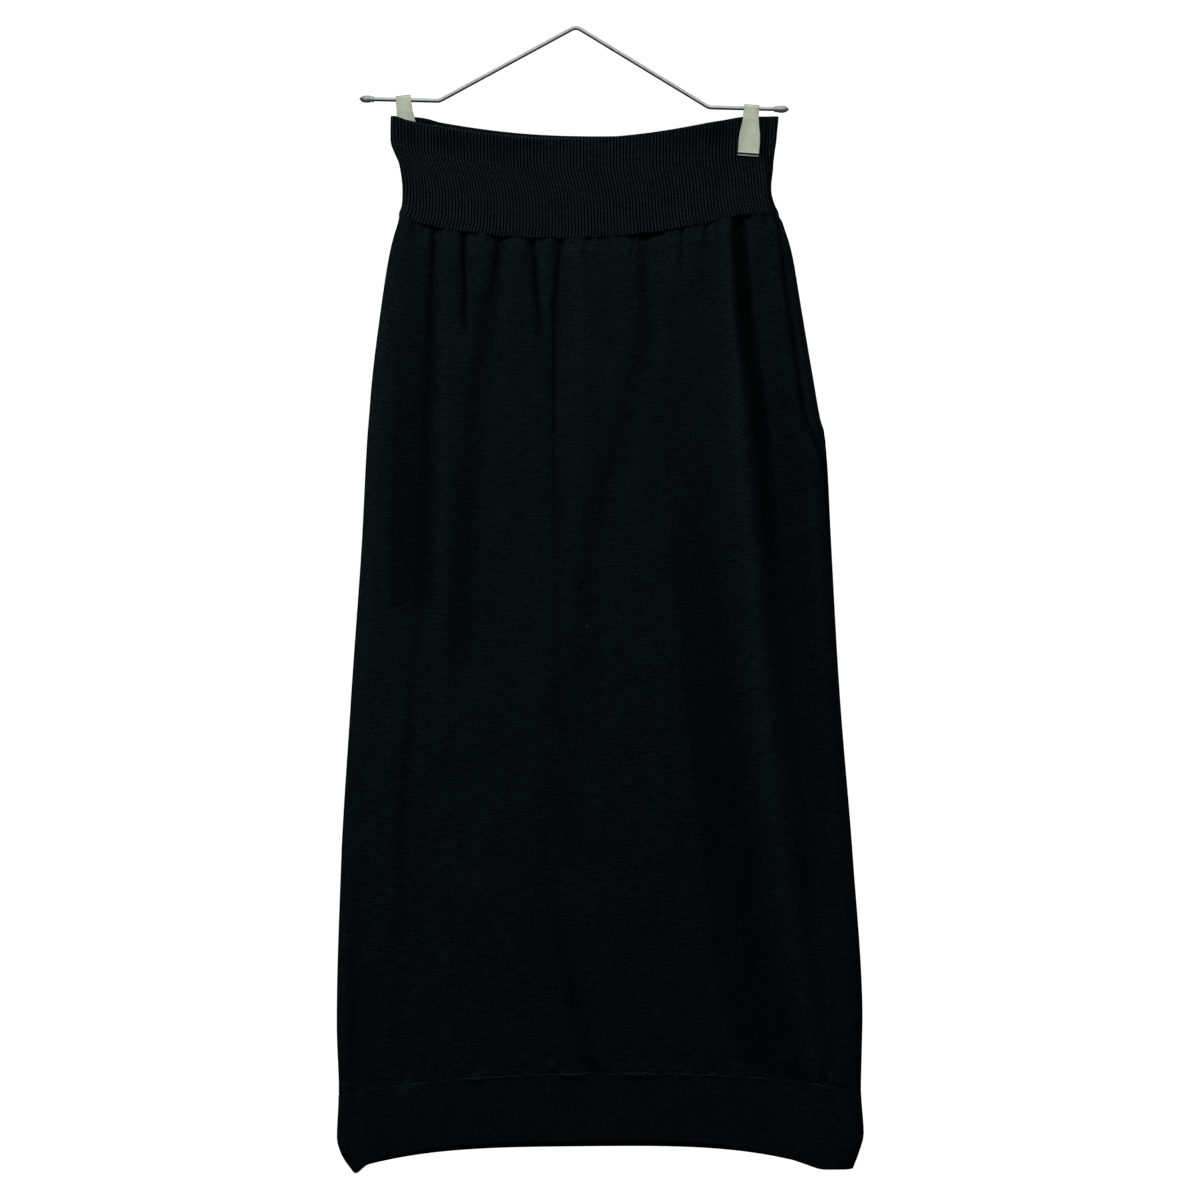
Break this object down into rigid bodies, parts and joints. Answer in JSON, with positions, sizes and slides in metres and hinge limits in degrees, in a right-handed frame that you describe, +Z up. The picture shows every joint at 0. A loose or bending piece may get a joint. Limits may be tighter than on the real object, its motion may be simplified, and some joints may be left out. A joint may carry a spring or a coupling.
{
  "type": "pencil skirt on a clip hanger",
  "caption": "Long knitted pencil skirt with a ribbed waistband and ribbed hem, hung by two clips from a bent wire hanger.",
  "frame": {"origin": "hang point: the underside of the bend at the hanger's peak, where a hook or a rod would carry it", "axes": "+Z up, +X to the right as seen from the front, +Y from the front to the back, so the front faces -Y"},
  "size_m": [0.4345, 0.0458, 0.946],
  "materials": {
    "rib_knit": "near-black fine 1x1 rib knit, matt with a faint bloom",
    "jersey_knit": "near-black fine plain jersey, matt, slightly fuzzy",
    "satin_steel": "satin",
    "satin_nickel": "satin plating"
  },
  "bodies": {
    "root": {"waistband_front": "rib_knit", "waistband_back": "rib_knit", "body_front": "jersey_knit", "body_back": "jersey_knit", "hem_front": "rib_knit", "hem_back": "rib_knit", "hanger_wire": "satin_steel", "bead_left": "satin_steel", "bead_right": "satin_steel", "clip_left": "satin_nickel", "clip_right": "satin_nickel"}
  },
  "joints": []
}
